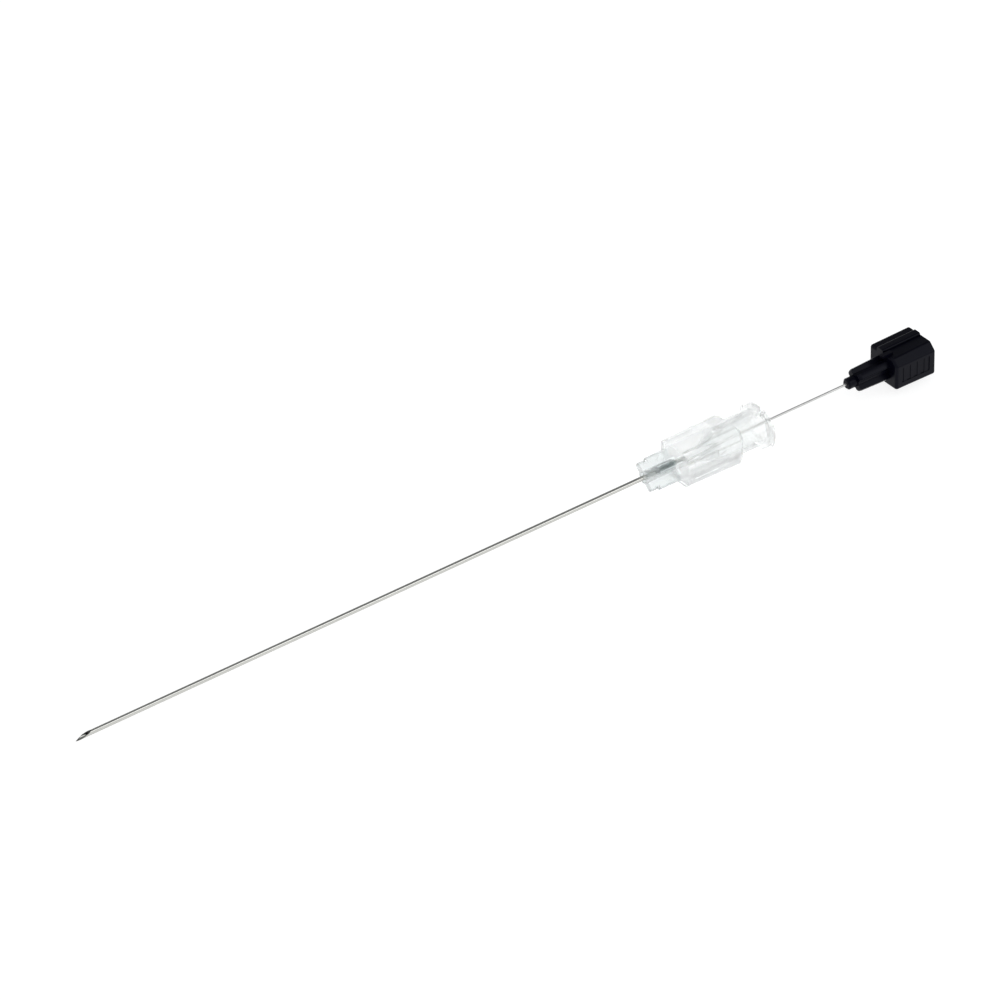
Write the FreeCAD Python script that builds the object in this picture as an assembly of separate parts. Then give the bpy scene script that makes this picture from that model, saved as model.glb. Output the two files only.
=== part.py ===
import FreeCAD, Part

import math
import os

# A spinal needle with its stylet partly drawn out. Millimetres.
# X runs from the needle's point to the stylet's cap, Z is up, and -Y is the side seen in front.
# The origin is on the needle's axis, where the steel tube leaves the hub's front face.

V = FreeCAD.Vector
ORIGIN = V(0, 0, 0)
AXIS = V(1, 0, 0)
ACROSS = V(0, 1, 0)

# Steel tube, 22 gauge
tube_d = 0.72
tube_bore = 0.42
tube_reach = 100.0
bevel_length = 2.7
lancet_angle = 20.0
lancet_turn = 38.0
keyed_relief = 0.02
keyed_taper = 1.2
tube_in_hub = 8.0

# Hub: ribbed snout
snout_length = 5.6
snout_core_d = 2.1
snout_rib_reach = 2.5
snout_rib_width = 1.0
snout_lobe_length = 1.15
snout_lobe_reach = 2.25
snout_notch_width = 0.35
snout_notch_reach = 2.1
lobed_ribs = (1, 3)

# Hub: gripping block
block_end = 15.6
block_width = 6.2
block_height = 4.8
block_draft = 0.25
block_corner = 0.35
block_back_chamfer = 0.6
lip_width = 0.55
lip_drop = 0.34
lip_corner = 0.85
panel_start = 1.3
panel_end_margin = 4.4
panel_margin = 0.8
panel_depth = 0.12

# Hub: barrel, lock ring and socket
hub_length = 21.1
barrel_d = 5.6
ring_width = 0.85
ring_d = 6.9
ring_flats = 6.5
ring_flank = 0.3
ear_d = 7.8
ear_width = 0.4
ear_flank = 0.25
ear_half_angle = 27.0
ring_edge = 0.12
slot_width = 0.9
slot_offset = 0.72
slot_length = 1.2
slot_floor = 2.35
mouth_d = 4.27
socket_taper = 0.06
socket_depth = 8.1
funnel_length = 4.4
funnel_bow = 0.12

# Adhesive well in the snout
well_mouth_d = 1.4
well_d = 1.15
well_flare = 1.5
well_depth = 5.2
bond_dish = 0.35
bond_face = 0.09

# Clearances
tube_clearance = 0.01
bond_clearance = 0.005
wire_clearance = 0.025
wire_in_cap_clearance = 0.005
seat_gap = 0.05
key_clearance = 0.1

# Stylet
withdrawn = 23.05
wire_in_cap = 9.5

# Stylet cap
cap_collar_d = 1.74
cap_collar_length = 1.5
cap_collar_edge = 0.25
cap_plug_length = 5.4
cap_plug_core_d = 2.1
cap_rib_reach = 1.9
cap_rib_width = 0.95
cap_rib_nose = 0.5
cap_block_length = 7.35
cap_block_width = 6.1
cap_block_height = 5.1
cap_block_draft = 0.06
cap_chamfer = 1.15
cap_corner = 0.45
cap_back_edge = 0.3
cap_rib_side = 0.75
cap_top_rib_width = 1.35
cap_top_rib_rise = 0.42
cap_top_rib_edge = 0.3
key_reach = 0.95
key_height = 0.4
grip_margin = 1.1
grip_gap = 0.35
grip_depth = 0.1
grip_bars = 4
grip_bar_share = 0.5
grip_bar_sink = 0.04

# How far a cutting shape stands past what it cuts, in times that size, what counts as the same place,
# and how far an edge may lean from the axis and still count as lengthwise
spare = 2
same = 1e-6
lengthwise_angle = 8.0
ribs = 4

# Sizes that follow
tube_r = tube_d / 2
bore_r = tube_bore / 2
keyed_r = tube_r - keyed_relief
wire_r = bore_r - wire_clearance
barrel_r = barrel_d / 2
mouth_r = mouth_d / 2
socket_start = hub_length - socket_depth
socket_start_r = mouth_r - socket_depth * socket_taper / 2
funnel_start = socket_start - funnel_length
ring_start = hub_length - ring_width
seat_bore_r = tube_r + tube_clearance
well_r = well_d / 2
well_mouth_r = well_mouth_d / 2
cap_block_start = hub_length + seat_gap
cap_block_end = cap_block_start + cap_block_length
cap_plug_start = cap_block_start - cap_plug_length
cap_front = cap_plug_start - cap_collar_length


def revolved(points):
    """A solid turned about the X axis from (x, radius) points, in order round its section."""
    corners = [V(x, 0, r) for x, r in points]
    face = Part.Face(Part.makePolygon(corners + corners[:1]))
    return face.revolve(ORIGIN, AXIS, 360)


def turned(edges):
    """A solid turned about the X axis from a closed run of edges in the XZ plane."""
    return Part.Face(Part.Wire(edges)).revolve(ORIGIN, AXIS, 360)


def extruded(corners, way):
    """A flat outline through the corners, drawn out along a vector."""
    return Part.Face(Part.makePolygon(corners + corners[:1])).extrude(way)


def rod(radius, start, end):
    """A round rod along X."""
    return Part.makeCylinder(radius, end - start, V(start, 0, 0), AXIS)


def box(x, y, z):
    """A box from three (low, high) pairs."""
    return Part.makeBox(x[1] - x[0], y[1] - y[0], z[1] - z[0], V(x[0], y[0], z[0]))


def line(a, b):
    """A straight edge between two (x, radius) points of a section."""
    return Part.makeLine(V(a[0], 0, a[1]), V(b[0], 0, b[1]))


def arc(a, middle, b):
    """A circular edge through three (x, radius) points of a section."""
    return Part.Arc(V(a[0], 0, a[1]), V(middle[0], 0, middle[1]), V(b[0], 0, b[1])).toShape()


def drafted_block(x, width, front_h, back_h):
    """A block between two places on the axis, with its own half height at each."""
    y = -width / 2
    corners = [V(x[0], y, -front_h), V(x[1], y, -back_h), V(x[1], y, back_h), V(x[0], y, front_h)]
    return extruded(corners, V(0, width, 0))


def crossed(shape):
    """Copies of a rib that points up, turned to stand on the diagonals."""
    pitch = 360 / ribs
    return [shape.rotated(ORIGIN, AXIS, pitch * (turn + 0.5)) for turn in range(ribs)]


def joined(first, others):
    """One solid from several that overlap."""
    return first.fuse(others).removeSplitter()


def moved(shape, x):
    """A copy of a shape moved along X."""
    return shape.translated(V(x, 0, 0))


def lengthwise(shape):
    """The straight edges of a shape that run along X."""
    straight = [edge for edge in shape.Edges if isinstance(edge.Curve, Part.Line)]
    along = math.cos(math.radians(lengthwise_angle))
    return [edge for edge in straight if abs(edge.Curve.Direction.x) > along]


def around(shape, x):
    """The edges of a shape that lie in the plane across the axis at x."""
    return [edge for edge in shape.Edges if all(abs(vertex.X - x) < same for vertex in edge.Vertexes)]


def export(shape, name):
    """Writes one piece, which has to be a single closed solid."""
    solid = shape.Solids[0]
    assert len(shape.Solids) == 1 and solid.isValid(), name
    solid.exportStep(f"parts/{name}.step")


def point_cutters():
    """What grinding takes off tube and stylet: a long bevel and two lancet faces, all through the point."""
    bevel_angle = math.degrees(math.atan2(tube_d, bevel_length))
    reach = spare * bevel_length
    grind = box((-reach, reach), (-reach, reach), (0, reach))
    faces = [grind.rotated(ORIGIN, ACROSS, -bevel_angle)]
    for turn in (-lancet_turn, lancet_turn):
        faces.append(grind.rotated(ORIGIN, ACROSS, -lancet_angle).rotated(ORIGIN, AXIS, turn))
    point = V(-tube_reach, 0, -tube_r)
    return [face.translated(point) for face in faces]


def cannula():
    """The steel tube, ground to a point in front and slightly reduced where the adhesive holds it."""
    shape = revolved(
        [
            (-tube_reach, bore_r),
            (tube_in_hub, bore_r),
            (tube_in_hub, keyed_r),
            (keyed_taper, keyed_r),
            (0, tube_r),
            (-tube_reach, tube_r),
        ]
    )
    return shape.cut(point_cutters())


def snout_rib(start, end, reach):
    """One upright rib of the snout with a round tip."""
    half = snout_rib_width / 2
    blade = box((start, end), (-half, half), (0, reach - half))
    return blade.fuse(Part.makeCylinder(half, end - start, V(start, 0, reach - half), AXIS))


def snout():
    """The ribbed front of the hub: a round core and four ribs, two of them with a notched lobe in front."""
    notch_end = snout_lobe_length + snout_notch_width
    lobes = crossed(snout_rib(0, snout_lobe_length, snout_lobe_reach))
    necks = crossed(snout_rib(0, notch_end, snout_notch_reach))
    pieces = [rib[turn] for rib in (lobes, necks) for turn in lobed_ribs]
    pieces += crossed(snout_rib(notch_end, snout_length + lip_width, snout_rib_reach))
    return joined(rod(snout_core_d / 2, 0, snout_length + lip_width), pieces)


def gripping_block():
    """The squared middle of the hub, taller behind, with a lip under its front and side panels."""
    half_w, half_h = block_width / 2, block_height / 2
    block = drafted_block((snout_length, block_end), block_width, half_h, half_h + block_draft)
    block = block.makeFillet(block_corner, lengthwise(block))
    lip_x = (snout_length, snout_length + lip_width)
    lip = box(lip_x, (-half_w, half_w), (-half_h - lip_drop, 0))
    low_edges = [edge for edge in lengthwise(lip) if edge.BoundBox.ZMax < -half_h]
    block = joined(block, [lip.makeFillet(lip_corner, low_edges)])
    corner_r = math.hypot(half_w, half_h + block_draft)
    chamfer_start = block_end - block_back_chamfer
    turning = revolved(
        [
            (snout_length, 0),
            (snout_length, spare * corner_r),
            (chamfer_start, spare * corner_r),
            (chamfer_start, corner_r),
            (block_end, corner_r - block_back_chamfer),
            (block_end, 0),
        ]
    )
    panel_h = half_h - panel_margin
    panel_x = (snout_length + panel_start, block_end - panel_end_margin)
    bottom = half_w - panel_depth
    panels = [box(panel_x, y, (-panel_h, panel_h)) for y in ((-block_width, -bottom), (bottom, block_width))]
    return block.common(turning).cut(panels)


def lock_ring():
    """The mouth's ring, with two ears that a lock fitting turns under, and flats above and below."""
    ring_r, ear_r = ring_d / 2, ear_d / 2
    ring = revolved(
        [
            (ring_start, 0),
            (ring_start, barrel_r),
            (ring_start + ring_flank, ring_r),
            (hub_length - ring_edge, ring_r),
            (hub_length, ring_r - ring_edge),
            (hub_length, 0),
        ]
    )
    ear_start = hub_length - ear_width
    whole = revolved(
        [
            (ear_start - ear_flank, 0),
            (ear_start - ear_flank, ring_r - ear_flank),
            (ear_start, ear_r),
            (hub_length - ring_edge, ear_r),
            (hub_length, ear_r - ring_edge),
            (hub_length, 0),
        ]
    )
    rise = ear_d * math.tan(math.radians(ear_half_angle))
    thickness = V(ear_width + ear_flank, 0, 0)
    back = ear_start - ear_flank
    ears = []
    for far in (-ear_d, ear_d):
        wedge = extruded([V(back, 0, 0), V(back, far, -rise), V(back, far, rise)], thickness)
        ears.append(whole.common(wedge))
    half = ring_flats / 2
    return joined(ring, ears).common(box((ring_start, hub_length), (-ear_d, ear_d), (-half, half)))


def passage():
    """The open way through the hub: adhesive well, tube seat, funnel and tapered socket."""
    start, end = (funnel_start, seat_bore_r), (socket_start, socket_start_r)
    middle_x = (start[0] + end[0]) / 2
    middle_r = (start[1] + end[1]) / 2 - funnel_bow * (end[1] - start[1])
    corners = [
        (0, 0),
        (0, well_mouth_r),
        (well_flare, well_r),
        (well_depth, well_r),
        (well_depth, seat_bore_r),
        start,
    ]
    edges = [line(a, b) for a, b in zip(corners, corners[1:])]
    edges.append(arc(start, (middle_x, middle_r), end))
    rest = [end, (hub_length, mouth_r), (hub_length, 0), (0, 0)]
    edges += [line(a, b) for a, b in zip(rest, rest[1:])]
    return turned(edges)


def hub():
    """The clear hub, moulded in one piece, with a slot through its mouth for the cap's key."""
    barrel = rod(barrel_r, snout_length, hub_length)
    body = joined(barrel, [snout(), gripping_block(), lock_ring()])
    side = (-slot_offset - slot_width / 2, -slot_offset + slot_width / 2)
    slot = box((hub_length - slot_length, hub_length), side, (slot_floor, ear_d))
    return body.cut([passage(), slot])


def bond():
    """The set adhesive between the tube and the snout's well, dished at its face."""
    gap = bond_clearance
    edge_r = well_mouth_r - (well_mouth_r - well_r) * bond_dish / well_flare
    return revolved(
        [
            (bond_face, tube_r + gap),
            (keyed_taper, keyed_r + gap),
            (well_depth - gap, keyed_r + gap),
            (well_depth - gap, well_r - gap),
            (well_flare, well_r - gap),
            (bond_dish, edge_r - gap),
        ]
    )


def stylet_wire():
    """The wire that fills the tube, ground with the tube's point, drawn back with its cap."""
    wire = rod(wire_r, -tube_reach, cap_front + wire_in_cap)
    return moved(wire.cut(point_cutters()), withdrawn)


def cap_plug():
    """The cap's front: a small collar and a plug of four ribs that fits the socket."""
    collar_r = cap_collar_d / 2
    collar_end = cap_plug_start + cap_collar_edge
    end = cap_block_start + cap_corner
    collar = revolved(
        [
            (cap_front, 0),
            (cap_front, collar_r - cap_collar_edge),
            (cap_front + cap_collar_edge, collar_r),
            (collar_end, collar_r),
            (collar_end, 0),
        ]
    )
    half = cap_rib_width / 2
    blades = crossed(box((cap_plug_start, end), (-half, half), (0, cap_rib_reach)))
    plug = joined(rod(cap_plug_core_d / 2, cap_plug_start, end), blades)
    front_r = cap_rib_reach - cap_plug_length * socket_taper / 2
    nose_r = front_r - cap_rib_nose
    nose_end = cap_plug_start + cap_rib_nose
    halfway = math.sqrt(0.5) * cap_rib_nose
    outline = [
        line((cap_plug_start, 0), (cap_plug_start, nose_r)),
        arc((cap_plug_start, nose_r), (nose_end - halfway, nose_r + halfway), (nose_end, front_r)),
        line((nose_end, front_r), (end, cap_rib_reach)),
        line((end, cap_rib_reach), (end, 0)),
        line((end, 0), (cap_plug_start, 0)),
    ]
    return joined(collar, [plug.common(turned(outline))])


def cap_block():
    """The cap's squared grip: taller behind, one long edge cut back, with a round rib along its top."""
    half_w, half_h = cap_block_width / 2, cap_block_height / 2
    front_h, back_h = half_h - cap_block_draft, half_h + cap_block_draft
    block = drafted_block((cap_block_start, cap_block_end), cap_block_width, front_h, back_h)
    low, high = back_h - spare * cap_chamfer, back_h + cap_chamfer
    outer, inner = -half_w - cap_chamfer, -half_w + spare * cap_chamfer
    corners = [V(cap_block_start, outer, low), V(cap_block_start, outer, high), V(cap_block_start, inner, high)]
    block = block.cut(extruded(corners, V(cap_block_length, 0, 0)))
    block = block.makeFillet(cap_corner, lengthwise(block))
    for x, radius in ((cap_block_start, cap_corner), (cap_block_end, cap_back_edge)):
        block = block.makeFillet(radius, around(block, x))
    rib_y = (cap_rib_side - cap_top_rib_width / 2, cap_rib_side + cap_top_rib_width / 2)
    profile = [
        V(cap_block_start, rib_y[0], 0),
        V(cap_block_end - cap_back_edge, rib_y[0], 0),
        V(cap_block_end - cap_back_edge, rib_y[0], back_h + cap_top_rib_rise),
        V(cap_block_start, rib_y[0], front_h + cap_top_rib_rise),
    ]
    rib = extruded(profile, V(0, cap_top_rib_width, 0))
    rib = rib.makeFillet(cap_top_rib_edge, [edge for edge in lengthwise(rib) if edge.BoundBox.ZMin > half_h])
    return joined(block, [rib])


def cap_key():
    """The tooth on the cap that drops into the slot of the hub's mouth."""
    half = slot_width / 2 - key_clearance
    low = slot_floor + key_clearance
    high = low + key_height
    side = (-slot_offset - half, -slot_offset + half)
    root_end = cap_block_start + key_reach
    tooth = box((cap_block_start - key_reach, root_end), side, (low, high))
    return tooth.fuse(box((cap_block_start, root_end), side, (0, high)))


def grip_panel():
    """A sunk panel in the cap's front side, and the plain upright bars that stand in it."""
    half_h = cap_block_height / 2
    face = -cap_block_width / 2
    x = (cap_block_start + grip_margin, cap_block_end - grip_margin)
    z = (-half_h + grip_margin, half_h - cap_block_draft - cap_chamfer - grip_gap)
    panel = box(x, (face - grip_depth, face + grip_depth), z)
    pitch = (x[1] - x[0]) / grip_bars
    bar = pitch * grip_bar_share
    depth = (face + grip_bar_sink, face + spare * grip_depth)
    bars = []
    for i in range(grip_bars):
        start = x[0] + (i + 0.5) * pitch - bar / 2
        bars.append(box((start, start + bar), depth, z))
    return panel, bars


def stylet_cap():
    """The black cap, moulded in one piece on the wire."""
    panel, bars = grip_panel()
    body = joined(cap_block(), [cap_plug(), cap_key()])
    body = joined(body.cut(panel), bars)
    hole = rod(wire_r + wire_in_cap_clearance, cap_front, cap_front + wire_in_cap)
    return moved(body.cut(hole), withdrawn)


os.makedirs("parts", exist_ok=True)
export(cannula(), "cannula")
export(hub(), "hub")
export(bond(), "bond")
export(stylet_wire(), "stylet_wire")
export(stylet_cap(), "stylet_cap")
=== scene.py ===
import math

import bpy
from mathutils import Matrix, Vector


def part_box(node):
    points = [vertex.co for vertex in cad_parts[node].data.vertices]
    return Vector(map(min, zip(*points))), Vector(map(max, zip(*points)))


# A spinal needle with its stylet partly drawn out, on a pale table. Metres, in the frame of the CAD:
# X runs from the needle's point to the stylet's cap, Z is up and -Y is the side seen in front.

# Camera, with angles in degrees
VIEW_AZIMUTH = -38.9
VIEW_ELEVATION = 34.8
VIEW_DISTANCE = 1.45
NEAREST_SEEN = 0.01
PICTURE = 1000
PIXELS_PER_METRE = 7050
HUB_FACE_PIXEL = (643.9, 477.6)
SENSOR_MM = 36

# Lamps and cloth, with angles in degrees and power in watts
FRONT_SOFTBOX = {"azimuth": 5, "elevation": 58, "distance": 2.2, "width": 2.2, "height": 1.2, "power": 4}
RIGHT_SOFTBOX = {"azimuth": 38, "elevation": 33, "distance": 2.2, "width": 1.2, "height": 1.0, "power": 4.5}
HANGING_CLOTH = {"azimuth": 112, "elevation": 48, "distance": 2.0, "width": 4.2, "height": 2.8}
ROOM_GREY = (0.80, 0.81, 0.82, 1.0)
CLOTH_GREY = (0.24, 0.245, 0.25, 1.0)
CLOTH_VARIATION = 1.1
CLOTH_GLOW = 1.0
BLACK = (0.0, 0.0, 0.0, 1.0)

# Table
TABLE_REACH = 5.0
TABLE_WHITE = (0.30, 0.30, 0.30, 1.0)
TABLE_VARIATION = 0.985
TABLE_ROUGHNESS = 0.7
TABLE_GLOW = 0.84
WHITE = (1.0, 1.0, 1.0, 1.0)

# Steel. The ground point is what lies before ground_end and leans forward past GROUND_LEAN, and its colour is
# darkened there as painted shade
TUBE_STEEL = {
    "colour": (0.60, 0.60, 0.57, 1.0),
    "streak_width": 1.2e-4,
    "roughness": 0.16,
    "ground_end": -0.0973,
}
WIRE_STEEL = {
    "colour": (0.68, 0.68, 0.67, 1.0),
    "streak_width": 0.8e-4,
    "roughness": 0.36,
    "ground_end": -0.0742,
}
STEEL_VARIATION = 0.86
GROUND_PAINTED_SHADE = 0.27
GROUND_LEAN = -0.15
STREAK_ROUGHNESS = 0.10
SCRATCH_ROUGHNESS = 0.04
STEEL_RELIEF = 2e-6
STEEL_RELIEF_STRENGTH = 0.05

# Clear plastic, with painted shade that darkens it by a power of how far it turns away, and soonest on the
# funnel's wall
CLEAR_PLASTIC = (0.93, 0.95, 0.945, 1.0)
SNOUT_PLASTIC = (0.70, 0.745, 0.745, 1.0)
CLEAR_EDGE_PAINTED_SHADE = (0.48, 0.55, 0.55, 1.0)
FUNNEL_PAINTED_SHADE = (0.10, 0.15, 0.16, 1.0)
CLEAR_POWER = 3.0
FUNNEL_POWER = 0.8
SNOUT_END = 0.0056
FUNNEL_START = 0.0084
FUNNEL_END = 0.0131
FUNNEL_REACH = 0.0021
CLEAR_SHARE = 0.70
CLEAR_ROUGHNESS = 0.20
CLEAR_HAZE_ROUGHNESS = 0.05
CLEAR_IOR = 1.45
WAVE_RELIEF = 2e-5
WAVE_RELIEF_STRENGTH = 0.25

# Adhesive, paler towards the point and darker behind a set point along X
PALE_ADHESIVE = (0.97, 0.98, 0.98, 1.0)
DARKER_ADHESIVE = (0.26, 0.36, 0.36, 1.0)
DARKER_FROM = 0.0021
ADHESIVE_SHARE = 0.75
ADHESIVE_ROUGHNESS = 0.16
ADHESIVE_HAZE_ROUGHNESS = 0.1
ADHESIVE_IOR = 1.48

# Black plastic
BLACK_PLASTIC = (0.0008, 0.0008, 0.0032, 1.0)
BLACK_VARIATION = 1.35
BLACK_ROUGHNESS = 0.27
BLACK_PATCH_ROUGHNESS = 0.1
BLACK_IOR = 1.5
BLACK_GLOSS = 0.10
BLACK_GLOSS_TINT = (0.86, 0.89, 1.0, 1.0)
GRAIN_RELIEF = 1.2e-5
GRAIN_RELIEF_STRENGTH = 0.18

# Noise patterns, in repeats per metre along X, Y and Z
CLOTH_WEAVE = (30.0, 30.0, 30.0)
TABLE_TONE = (40.0, 40.0, 40.0)
STREAKS_ALONG = 60.0
STEEL_CLOUDS = (120.0, 900.0, 900.0)
GRINDING_SCRATCHES = (9000.0, 300.0, 300.0)
CLEAR_WAVES = (350.0, 800.0, 800.0)
CLEAR_HAZE = (1500.0, 1500.0, 1500.0)
ADHESIVE_HAZE = (2500.0, 2500.0, 2500.0)
MOULD_GRAIN = (14000.0, 14000.0, 14000.0)
BLACK_PATCHES = (500.0, 500.0, 500.0)

# How many layers of finer noise a pattern has
PLAIN = 1.0
MIXED = 2.0
FINE = 3.0

# The way up, and the corners of a sheet in halves of its width and height
UP = Vector((0, 0, 1))
SHEET_CORNERS = ((-1, -1), (1, -1), (1, 1), (-1, 1))


def toward(azimuth, elevation):
    """The unit vector from the object to something seen at an azimuth and elevation, in degrees."""
    around, upward = math.radians(azimuth), math.radians(elevation)
    level = math.cos(upward)
    return Vector((math.sin(around) * level, -math.cos(around) * level, math.sin(upward)))


def facing(place, aim, upright):
    """The matrix of a camera, lamp or cloth at a place that faces an aim, with its top towards upright."""
    forward = (aim - place).normalized()
    right = forward.cross(upright).normalized()
    turn = Matrix((right, right.cross(forward), -forward)).transposed()
    return Matrix.Translation(place) @ turn.to_4x4()


def shaded(colour, factor):
    """A colour made darker or lighter by a factor."""
    return tuple(factor * part for part in colour[:3]) + (1.0,)


def put_in_scene(name, data):
    """A new object in the scene, made of a lens, a lamp or a mesh."""
    item = bpy.data.objects.new(name, data)
    bpy.context.scene.collection.objects.link(item)
    return item


def flat_sheet(name, corners, material):
    """A flat sheet through its corners, in one material."""
    mesh = bpy.data.meshes.new(name)
    mesh.from_pydata(corners, [], [range(len(corners))])
    mesh.materials.append(material)
    return put_in_scene(name, mesh)


def build_camera():
    """The photograph's camera, aimed so that the hub's front face falls on its pixel with no lens shift."""
    back = toward(VIEW_AZIMUTH, VIEW_ELEVATION)
    right = UP.cross(back).normalized()
    upright = back.cross(right)
    middle = PICTURE / 2
    across, down = HUB_FACE_PIXEL
    aim = (right * (middle - across) + upright * (down - middle)) / PIXELS_PER_METRE
    lens = bpy.data.cameras.new("photograph_lens")
    lens.sensor_width = SENSOR_MM
    lens.lens = PIXELS_PER_METRE * VIEW_DISTANCE * SENSOR_MM / PICTURE
    lens.clip_start = NEAREST_SEEN
    camera = put_in_scene("photograph_camera", lens)
    camera.matrix_world = facing(back * VIEW_DISTANCE, aim, upright)
    bpy.context.scene.camera = camera


def softbox(name, azimuth, elevation, distance, width, height, power):
    """A large soft lamp that shines on the object from an azimuth and elevation."""
    lamp = bpy.data.lights.new(name, "AREA")
    lamp.shape = "RECTANGLE"
    lamp.size = width
    lamp.size_y = height
    lamp.energy = power
    put_in_scene(name, lamp).matrix_world = facing(toward(azimuth, elevation) * distance, Vector(), UP)


def hang_cloth(azimuth, elevation, distance, width, height):
    """A grey cloth that the steel and the black plastic mirror, and that the camera doesn't see."""
    matrix = facing(toward(azimuth, elevation) * distance, Vector(), UP)
    corners = [matrix @ Vector((x * width / 2, y * height / 2, 0)) for x, y in SHEET_CORNERS]
    cloth = flat_sheet("grey_cloth", corners, dim_cloth())
    cloth.visible_camera = False
    cloth.visible_transmission = False


def build_light():
    """A pale room with two softboxes, and a grey cloth above at the right that darkens the steel's edge."""
    room = bpy.data.worlds.new("room")
    room.use_nodes = True
    room.node_tree.nodes["Background"].inputs["Color"].default_value = ROOM_GREY
    bpy.context.scene.world = room
    softbox("front_softbox", **FRONT_SOFTBOX)
    softbox("right_softbox", **RIGHT_SOFTBOX)
    hang_cloth(**HANGING_CLOTH)


def lay_table():
    """The table top, laid through what the needle rests on: the lock ring's flat edge and the point."""
    ring_x, ring_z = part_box("hub")[1].x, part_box("hub")[0].z
    point_x, point_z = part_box("cannula")[0].x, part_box("cannula")[0].z
    slope = (ring_z - point_z) / (ring_x - point_x)
    places = [(x * TABLE_REACH, y * TABLE_REACH) for x, y in SHEET_CORNERS]
    corners = [(x, y, ring_z + slope * (x - ring_x)) for x, y in places]
    table = flat_sheet("table", corners, pale_table())


class Value:
    """A shader value that adds its own Math nodes when it stands in an expression."""

    def __init__(self, paint, socket):
        self.paint = paint
        self.socket = socket

    def __add__(self, other):
        return self.paint.math("ADD", self, other)

    def __sub__(self, other):
        return self.paint.math("SUBTRACT", self, other)

    def __rsub__(self, other):
        return self.paint.math("SUBTRACT", other, self)

    def __mul__(self, other):
        return self.paint.math("MULTIPLY", self, other)

    def __lt__(self, other):
        return self.paint.math("LESS_THAN", self, other)

    def __gt__(self, other):
        return self.paint.math("GREATER_THAN", self, other)

    __radd__ = __add__
    __rmul__ = __mul__


class Paint:
    """One finish: its node tree, and the calls that add to it."""

    def __init__(self, name):
        self.material = bpy.data.materials.new(name)
        self.material.use_nodes = True
        self.tree = self.material.node_tree
        self.tree.nodes.clear()

    def feed(self, socket, value):
        """Links a socket to a value of another node, or sets it to a plain one."""
        if isinstance(value, Value):
            self.tree.links.new(value.socket, socket)
        else:
            socket.default_value = value

    def node(self, kind, settings, sockets, result=0):
        """Adds a node, sets what is set on it and then its sockets, and gives one of its outputs."""
        node = self.tree.nodes.new(kind)
        for name, setting in settings.items():
            setattr(node, name, setting)
        for name, value in sockets.items():
            self.feed(node.inputs[name], value)
        return Value(self, node.outputs[result])

    def math(self, operation, first, second):
        """One Math node on two values or numbers."""
        return self.node("ShaderNodeMath", {"operation": operation}, {0: first, 1: second})

    def place(self):
        """Where a point of the surface is, in the object's own metres."""
        return self.node("ShaderNodeTexCoord", {}, {}, "Object")

    def lean(self):
        """The way a point of the surface faces, on the object's own axes."""
        return self.node("ShaderNodeTexCoord", {}, {}, "Normal")

    def part(self, vector, axis):
        """One part of a vector."""
        return self.node("ShaderNodeSeparateXYZ", {}, {"Vector": vector}, axis)

    def speckle(self, place, repeats, detail):
        """Soft noise from 0 to 1, with its own repeats along X, Y and Z."""
        vector = self.node("ShaderNodeVectorMath", {"operation": "MULTIPLY"}, {0: place, 1: repeats})
        sockets = {"Vector": vector, "Scale": 1.0, "Detail": detail}
        return self.node("ShaderNodeTexNoise", {}, sockets, "Fac")

    def blend(self, share, first, second):
        """Two colours mixed by a share."""
        mix = self.node("ShaderNodeMix", {"data_type": "RGBA"}, {"Factor": share}).socket.node
        colour_sockets = [socket for socket in mix.inputs if socket.type == "RGBA"]
        for socket, colour in zip(colour_sockets, (first, second)):
            self.feed(socket, colour)
        return Value(self, next(socket for socket in mix.outputs if socket.type == "RGBA"))

    def bump(self, height, strength, distance):
        """The surface's normal, raised by a height."""
        sockets = {"Height": height, "Strength": strength, "Distance": distance}
        return self.node("ShaderNodeBump", {}, sockets, "Normal")

    def surface(self, sockets):
        """Ends the finish in its shader, and gives the material."""
        shader = self.node("ShaderNodeBsdfPrincipled", {}, sockets, "BSDF")
        output = self.tree.nodes.new("ShaderNodeOutputMaterial")
        self.feed(output.inputs["Surface"], shader)
        return self.material


def dim_cloth():
    """The dim grey cloth, which gives its own even light."""
    paint = Paint("grey_cloth")
    weave = paint.speckle(paint.place(), CLOTH_WEAVE, MIXED)
    return paint.surface(
        {
            "Base Color": BLACK,
            "Roughness": 1.0,
            "Specular IOR Level": 0.0,
            "Emission Color": paint.blend(weave, CLOTH_GREY, shaded(CLOTH_GREY, CLOTH_VARIATION)),
            "Emission Strength": CLOTH_GLOW,
        }
    )


def pale_table():
    """The pale, lit table top."""
    paint = Paint("pale_table")
    tone = paint.speckle(paint.place(), TABLE_TONE, MIXED)
    return paint.surface(
        {
            "Base Color": paint.blend(tone, TABLE_WHITE, shaded(TABLE_WHITE, TABLE_VARIATION)),
            "Roughness": TABLE_ROUGHNESS,
            "Emission Color": WHITE,
            "Emission Strength": TABLE_GLOW,
        }
    )


def drawn_steel(name, colour, streak_width, roughness, ground_end):
    """Drawn stainless steel: fine streaks along the axis, and cross scratches on the ground point, which is
    also painted darker as painted shade.
    """
    paint = Paint(name)
    place = paint.place()
    streaks = paint.speckle(place, (STREAKS_ALONG, 1 / streak_width, 1 / streak_width), FINE)
    clouds = paint.speckle(place, STEEL_CLOUDS, MIXED)
    scratches = paint.speckle(place, GRINDING_SCRATCHES, MIXED)
    # The ground point carries the grinding scratches, and its colour is painted darker there as painted shade
    ground = (paint.part(paint.lean(), "X") < GROUND_LEAN) * (paint.part(place, "X") < ground_end)
    drawn = paint.blend(clouds, colour, shaded(colour, STEEL_VARIATION))
    return paint.surface(
        {
            "Base Color": paint.blend(ground, drawn, shaded(colour, GROUND_PAINTED_SHADE)),
            "Metallic": 1.0,
            "Roughness": roughness + streaks * STREAK_ROUGHNESS + ground * scratches * SCRATCH_ROUGHNESS,
            "Normal": paint.bump(streaks + ground * scratches, STEEL_RELIEF_STRENGTH, STEEL_RELIEF),
        }
    )


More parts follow.
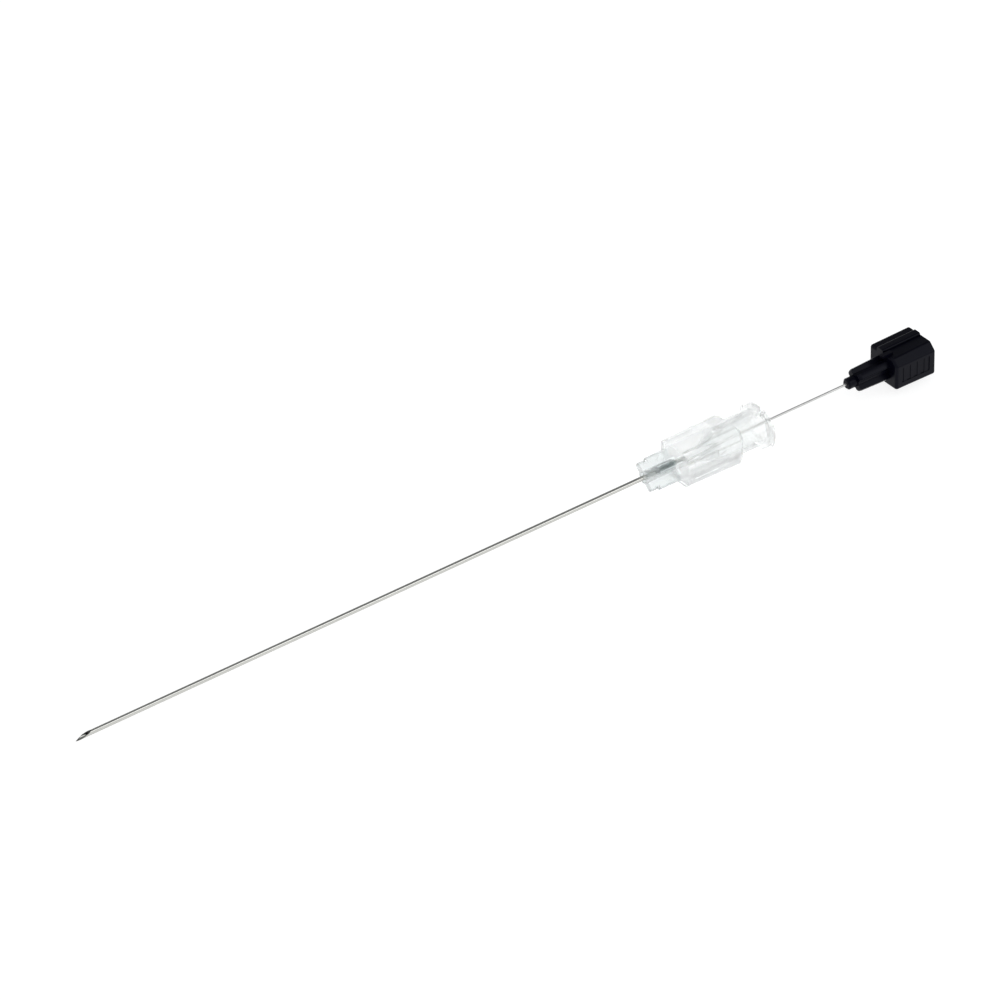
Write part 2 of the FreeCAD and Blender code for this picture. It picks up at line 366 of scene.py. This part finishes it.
def moulded_clear():
    """Clear moulded plastic with slight waves and haze, darker on the snout, and with painted shade where
    seen on edge and on the funnel's wall.
    """
    paint = Paint("clear_hub_plastic")
    place = paint.place()
    x, y, z = (paint.part(place, axis) for axis in ("X", "Y", "Z"))
    # Painted shade: the plastic turns darker where it is seen on edge, and soonest on the funnel's wall
    funnel = (x > FUNNEL_START) * (x < FUNNEL_END) * (y * y + z * z < FUNNEL_REACH * FUNNEL_REACH)
    turned_away = paint.node("ShaderNodeLayerWeight", {}, {}, "Facing")
    painted_edge_shade = paint.math("POWER", turned_away, CLEAR_POWER - funnel * (CLEAR_POWER - FUNNEL_POWER))
    body = paint.blend(x < SNOUT_END, CLEAR_PLASTIC, SNOUT_PLASTIC)
    edge = paint.blend(funnel, CLEAR_EDGE_PAINTED_SHADE, FUNNEL_PAINTED_SHADE)
    waves = paint.speckle(place, CLEAR_WAVES, PLAIN)
    haze = paint.speckle(place, CLEAR_HAZE, MIXED)
    return paint.surface(
        {
            "Base Color": paint.blend(painted_edge_shade, body, edge),
            "Roughness": CLEAR_ROUGHNESS + haze * CLEAR_HAZE_ROUGHNESS,
            "IOR": CLEAR_IOR,
            "Transmission Weight": 1.0,
            "Alpha": CLEAR_SHARE,
            "Normal": paint.bump(waves, WAVE_RELIEF_STRENGTH, WAVE_RELIEF),
        }
    )


def set_adhesive():
    """Set adhesive, clear towards the point, where it is dished, and darker behind a set point along X."""
    paint = Paint("set_adhesive")
    place = paint.place()
    # Paler towards the point and darker behind a set point along X
    darker_part = paint.part(place, "X") > DARKER_FROM
    haze = paint.speckle(place, ADHESIVE_HAZE, MIXED)
    return paint.surface(
        {
            "Base Color": paint.blend(darker_part, PALE_ADHESIVE, DARKER_ADHESIVE),
            "Roughness": ADHESIVE_ROUGHNESS + haze * ADHESIVE_HAZE_ROUGHNESS,
            "IOR": ADHESIVE_IOR,
            "Transmission Weight": 1.0,
            "Alpha": ADHESIVE_SHARE,
        }
    )


def moulded_black():
    """Black satin plastic with the fine grain of a sparked mould."""
    paint = Paint("black_cap_plastic")
    place = paint.place()
    grain = paint.speckle(place, MOULD_GRAIN, FINE)
    patches = paint.speckle(place, BLACK_PATCHES, MIXED)
    return paint.surface(
        {
            "Base Color": paint.blend(patches, BLACK_PLASTIC, shaded(BLACK_PLASTIC, BLACK_VARIATION)),
            "Roughness": BLACK_ROUGHNESS + patches * BLACK_PATCH_ROUGHNESS,
            "IOR": BLACK_IOR,
            "Specular IOR Level": BLACK_GLOSS,
            "Specular Tint": BLACK_GLOSS_TINT,
            "Normal": paint.bump(grain, GRAIN_RELIEF_STRENGTH, GRAIN_RELIEF),
        }
    )


bpy.context.scene.view_settings.view_transform = "Standard"
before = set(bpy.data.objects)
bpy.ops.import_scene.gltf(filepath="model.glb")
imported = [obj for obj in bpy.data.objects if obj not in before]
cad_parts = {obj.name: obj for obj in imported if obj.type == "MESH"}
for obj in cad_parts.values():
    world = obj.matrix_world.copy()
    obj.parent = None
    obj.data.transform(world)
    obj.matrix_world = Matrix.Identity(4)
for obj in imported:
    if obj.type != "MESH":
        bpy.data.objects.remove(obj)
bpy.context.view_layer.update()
build_camera()
build_light()
lay_table()

finishes = {
    "cannula": drawn_steel("drawn_tube_steel", **TUBE_STEEL),
    "stylet_wire": drawn_steel("drawn_wire_steel", **WIRE_STEEL),
    "hub": moulded_clear(),
    "bond": set_adhesive(),
    "stylet_cap": moulded_black(),
}
for node, finish in finishes.items():
    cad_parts[node].data.materials[0] = finish

# Light passes through the clear pieces, so they cast no shadow
for node in ("hub", "bond"):
    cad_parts[node].visible_shadow = False
